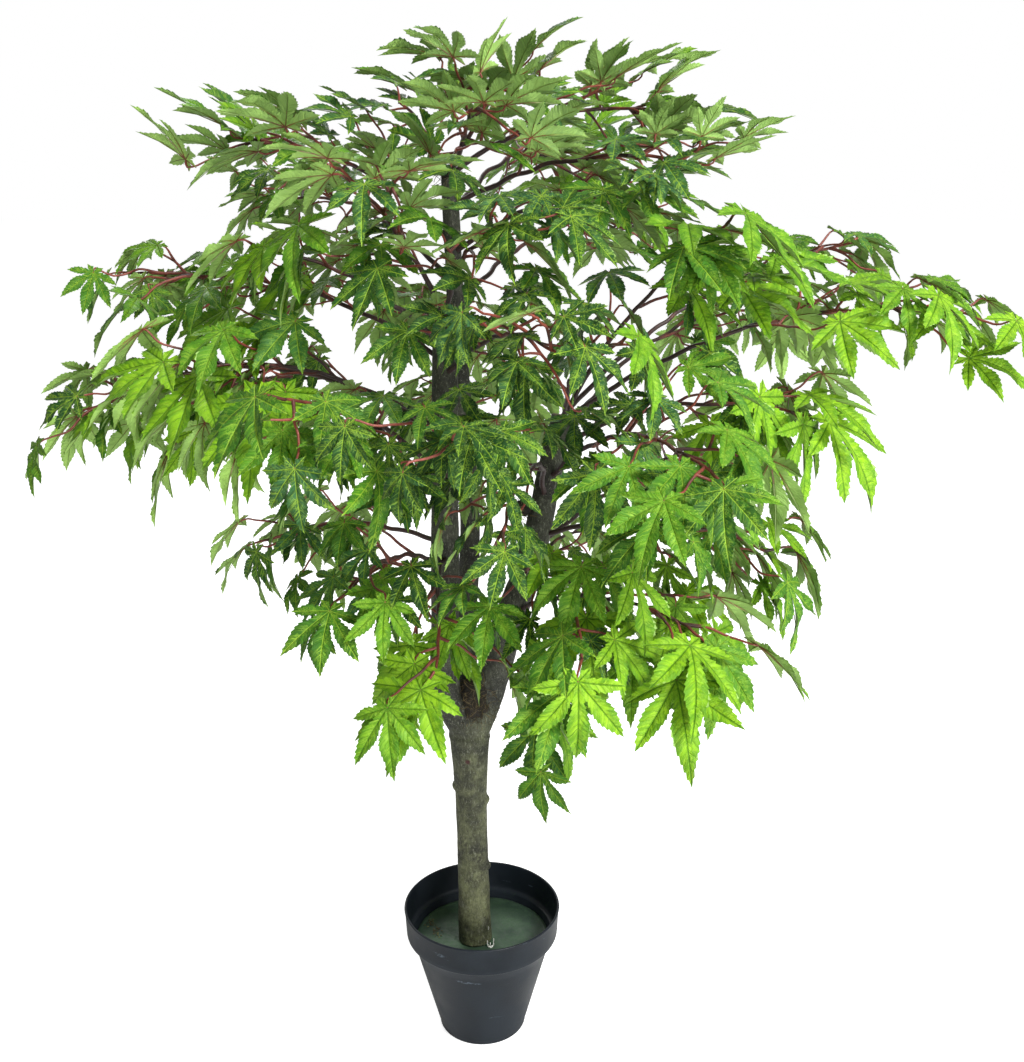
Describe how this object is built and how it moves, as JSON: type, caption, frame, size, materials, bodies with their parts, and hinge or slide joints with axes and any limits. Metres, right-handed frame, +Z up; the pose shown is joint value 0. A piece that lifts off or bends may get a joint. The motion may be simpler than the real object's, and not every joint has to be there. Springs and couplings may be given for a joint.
{
  "type": "artificial japanese maple tree in a pot",
  "caption": "Artificial Japanese maple: three wood stems from one trunk carry wired sprays of green palmate leaves, set in a tapered black plastic pot.",
  "frame": {"origin": "middle of the pot's flat underside", "axes": "+Z up the trunk, +X to the right and -Y towards the viewer in the front view"},
  "size_m": [1.0021, 0.7983, 1.1134],
  "materials": {
    "pot": "matt black injection-moulded plastic",
    "pot_fill": "smooth set filling, dark sea green",
    "bark": "natural bark, grey-brown, matt",
    "coir": "matted coconut fibre, brown",
    "bough": "plastic-sheathed wire, dark brown",
    "leaf_bright": "printed polyester leaf cloth, yellow green",
    "leaf_mid": "printed polyester leaf cloth, mid green",
    "leaf_dark": "printed polyester leaf cloth, dark green"
  },
  "bodies": {
    "root": {"pot": "pot", "pot_fill": "pot_fill", "trunk": "bark", "stem_left": "bark", "stem_rear": "bark", "stem_right": "bark", "coir_fork": "coir", "coir_left": "coir", "coir_rear": "coir", "coir_right": "coir", "bough_top_back": "bough", "bough_back_left": "bough", "bough_back_right": "bough", "bough_back_low_left": "bough", "bough_left": "bough", "bough_far_left": "bough", "bough_far_right": "bough", "bough_upper_right": "bough", "bough_right": "bough", "bough_right_back": "bough", "bough_right_back_low": "bough", "leaves_top_front": "leaf_mid", "leaves_top": "leaf_mid", "leaves_top_left": "leaf_dark", "leaves_top_right": "leaf_mid", "leaves_top_right_low": "leaf_dark", "leaves_top_back": "leaf_mid", "leaves_upper_left": "leaf_mid", "leaves_upper_mid_right": "leaf_mid", "leaves_back_left": "leaf_dark", "leaves_back_right": "leaf_mid", "leaves_back_low": "leaf_bright", "leaves_back_low_left": "leaf_mid", "leaves_back_mid": "leaf_mid", "leaves_crown_left": "leaf_mid", "leaves_crown_side": "leaf_mid", "leaves_crown_front": "leaf_mid", "leaves_left": "leaf_bright", "leaves_far_left": "leaf_mid", "leaves_left_high": "leaf_dark", "leaves_left_front": "leaf_mid", "leaves_left_low": "leaf_dark", "leaves_left_low_front": "leaf_dark", "leaves_hanging_left": "leaf_bright", "leaves_front": "leaf_dark", "leaves_front_low": "leaf_dark", "leaves_right_high": "leaf_bright", "leaves_mid_right": "leaf_mid", "leaves_far_right": "leaf_mid", "leaves_upper_right": "leaf_dark", "leaves_right": "leaf_bright", "leaves_right_front": "leaf_mid", "leaves_right_low": "leaf_mid", "leaves_right_low_front": "leaf_bright", "leaves_centre_low": "leaf_mid", "leaves_centre": "leaf_dark", "leaves_right_back": "leaf_mid", "leaves_right_back_low": "leaf_dark", "leaves_back_low_right": "leaf_mid", "leaves_low": "leaf_bright"}
  },
  "joints": []
}
